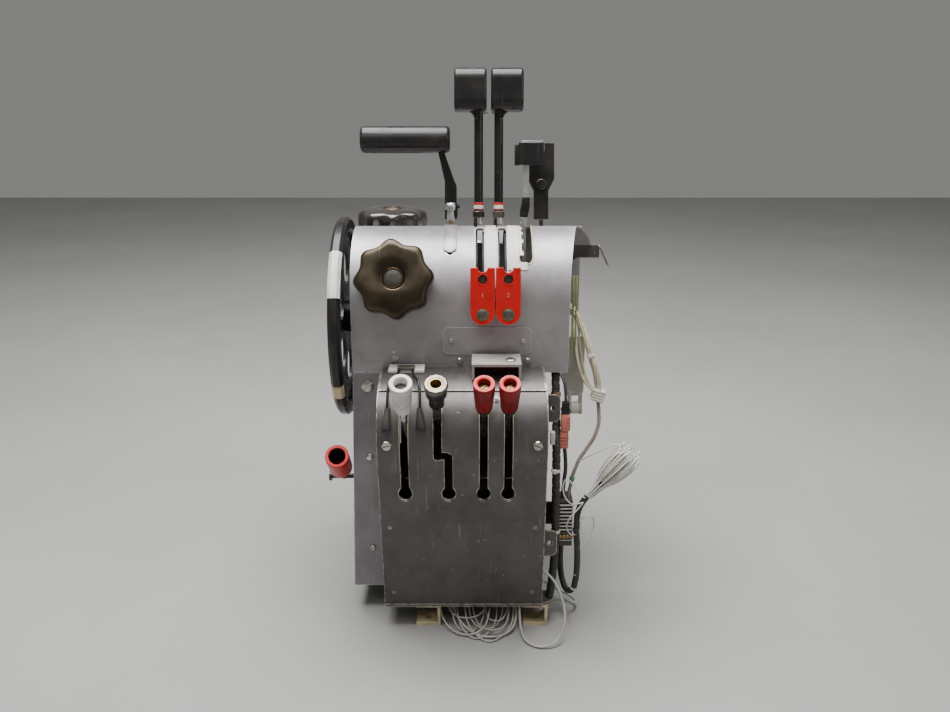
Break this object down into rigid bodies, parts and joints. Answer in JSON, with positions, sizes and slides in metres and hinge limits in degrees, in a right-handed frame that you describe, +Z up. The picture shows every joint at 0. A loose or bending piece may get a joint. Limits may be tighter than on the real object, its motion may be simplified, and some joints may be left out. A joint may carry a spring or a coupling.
{
  "type": "throttle quadrant",
  "caption": "Floor-standing aircraft throttle quadrant: a sheet-metal box with engine, airbrake, flap and wheel brake levers, fuel cock levers and trim knobs.",
  "frame": {"origin": "centre of the four foot bolt holes, on the surface the feet stand on", "axes": "+X to the right of the crew, +Y away from the crew, +Z up"},
  "size_m": [0.3219, 0.3276, 0.5508],
  "materials": {
    "grey_paint": "grey paint on aluminium sheet, satin with wear",
    "dark_paint": "dark olive-grey primer paint on aluminium",
    "cream_paint": "yellowed cream paint, chipped",
    "bare_alloy": "bare machined aluminium",
    "steel": "bright steel",
    "black_lever": "glossy black enamel, worn edges",
    "black_plastic": "moulded black plastic, glossy and scuffed",
    "red_enamel": "red enamel",
    "white_enamel": "white enamel",
    "black_rubber": "black sleeve",
    "salmon_plastic": "salmon red moulded plastic",
    "cream_plastic": "cream moulded plastic",
    "grey_wire": "grey wire insulation",
    "white_wire": "white wire insulation",
    "phenolic": "dark moulded terminal block"
  },
  "bodies": {
    "frame": {"arch_gusset": "dark_paint", "bail_guard": "black_lever", "base_plate": "grey_paint", "base_wire": "grey_wire", "bearing_plate": "dark_paint", "cock_guard": "bare_alloy", "console_lugs": "grey_paint", "cream_plug": "cream_plastic", "end_plate_left": "grey_paint", "fasteners": "steel", "floor_wire": "grey_wire", "foot_front_left": "cream_paint", "foot_front_right": "cream_paint", "foot_rear_left": "cream_paint", "foot_rear_right": "cream_paint", "frame_plate_left": "dark_paint", "frame_plate_right": "dark_paint", "gate_plates": "grey_paint", "loom_loop": "black_rubber", "lower_panel": "grey_paint", "lower_shaft": "steel", "main_harness": "black_rubber", "mid_shelf": "dark_paint", "panel_top_strip": "grey_paint", "plug_lead": "grey_wire", "plug_wires": "white_wire", "rear_panel": "grey_paint", "red_lead": "black_rubber", "red_plug": "salmon_plastic", "shaft_spacers": "bare_alloy", "side_box": "grey_paint", "side_plate": "bare_alloy", "switch_plate": "grey_paint", "terminal_block": "phenolic", "trim_bushings": "steel", "upper_cover": "grey_paint", "upper_shaft": "steel", "wire_hank": "white_wire"},
    "throttle_1": {"throttle_1_lever": "black_lever", "throttle_1_grip": "black_plastic"},
    "throttle_2": {"throttle_2_lever": "black_lever", "throttle_2_grip": "black_plastic"},
    "fuel_cock_1": {"fuel_cock_1": "red_enamel"},
    "fuel_cock_2": {"fuel_cock_2": "red_enamel"},
    "airbrake": {"airbrake_lever": "black_lever", "airbrake_grip": "black_plastic"},
    "flap": {"flap_lever": "bare_alloy", "flap_knob": "black_plastic"},
    "wheel_brake": {"wheel_brake_lever": "black_lever"},
    "trim_wheel": {"trim_wheel": "black_plastic"},
    "aileron_knob": {"aileron_knob": "black_plastic"},
    "rudder_knob": {"rudder_knob": "black_plastic"},
    "lp_cock_1": {"lp_cock_1_arm": "steel", "lp_cock_1_grip": "red_enamel"},
    "lp_cock_2": {"lp_cock_2_arm": "steel", "lp_cock_2_grip": "red_enamel"},
    "white_lever": {"white_lever": "white_enamel"},
    "black_lever": {"black_lever": "black_lever"},
    "pull_handle": {"pull_handle": "red_enamel"},
    "clevis_roller": {"clevis_roller": "steel"}
  },
  "joints": [
    {"name": "throttle_1_turn", "type": "hinge", "parent": "frame", "child": "throttle_1", "pos_m": [-0.0033, -0.03, 0.3315], "axis": [1, 0, 0], "range_deg": [-40, 0]},
    {"name": "throttle_2_turn", "type": "hinge", "parent": "frame", "child": "throttle_2", "pos_m": [0.017, -0.03, 0.3315], "axis": [1, 0, 0], "range_deg": [-40, 0]},
    {"name": "fuel_cock_1_turn", "type": "hinge", "parent": "frame", "child": "fuel_cock_1", "pos_m": [-0.0022, -0.03, 0.3315], "axis": [1, 0, 0], "range_deg": [-60, 0]},
    {"name": "fuel_cock_2_turn", "type": "hinge", "parent": "frame", "child": "fuel_cock_2", "pos_m": [0.0198, -0.03, 0.3315], "axis": [1, 0, 0], "range_deg": [-60, 0]},
    {"name": "airbrake_turn", "type": "hinge", "parent": "frame", "child": "airbrake", "pos_m": [-0.0315, -0.03, 0.3315], "axis": [1, 0, 0], "range_deg": [0, 45]},
    {"name": "flap_turn", "type": "hinge", "parent": "frame", "child": "flap", "pos_m": [0.0425, -0.03, 0.3315], "axis": [1, 0, 0], "range_deg": [0, 50]},
    {"name": "wheel_brake_turn", "type": "hinge", "parent": "frame", "child": "wheel_brake", "pos_m": [0.061, -0.03, 0.3315], "axis": [1, 0, 0], "range_deg": [-30, 0]},
    {"name": "trim_wheel_turn", "type": "hinge", "parent": "frame", "child": "trim_wheel", "pos_m": [-0.1415, -0.02, 0.301], "axis": [1, 0, 0], "continuous": true},
    {"name": "aileron_knob_turn", "type": "hinge", "parent": "frame", "child": "aileron_knob", "pos_m": [-0.084, -0.09108, 0.35373], "axis": [0, -0.9397, 0.342], "continuous": true},
    {"name": "rudder_knob_turn", "type": "hinge", "parent": "frame", "child": "rudder_knob", "pos_m": [-0.099, 0.079, 0.3705], "axis": [0, 0, 1], "continuous": true},
    {"name": "lp_cock_1_turn", "type": "hinge", "parent": "frame", "child": "lp_cock_1", "pos_m": [0.0012, -0.117, 0.2153], "axis": [1, 0, 0], "range_deg": [0, 55]},
    {"name": "lp_cock_2_turn", "type": "hinge", "parent": "frame", "child": "lp_cock_2", "pos_m": [0.0245, -0.117, 0.2153], "axis": [1, 0, 0], "range_deg": [0, 55]},
    {"name": "white_lever_turn", "type": "hinge", "parent": "frame", "child": "white_lever", "pos_m": [-0.0735, -0.117, 0.2153], "axis": [1, 0, 0], "range_deg": [0, 55]},
    {"name": "black_lever_turn", "type": "hinge", "parent": "frame", "child": "black_lever", "pos_m": [-0.042, -0.117, 0.2153], "axis": [1, 0, 0], "range_deg": [0, 37]},
    {"name": "pull_handle_turn", "type": "hinge", "parent": "frame", "child": "pull_handle", "pos_m": [-0.14388, -0.072, 0.142], "axis": [1, 0, 0], "range_deg": [-48, 0]},
    {"name": "clevis_roller_turn", "type": "hinge", "parent": "frame", "child": "clevis_roller", "pos_m": [0.095, -0.06, 0.2138], "axis": [1, 0, 0], "continuous": true}
  ]
}
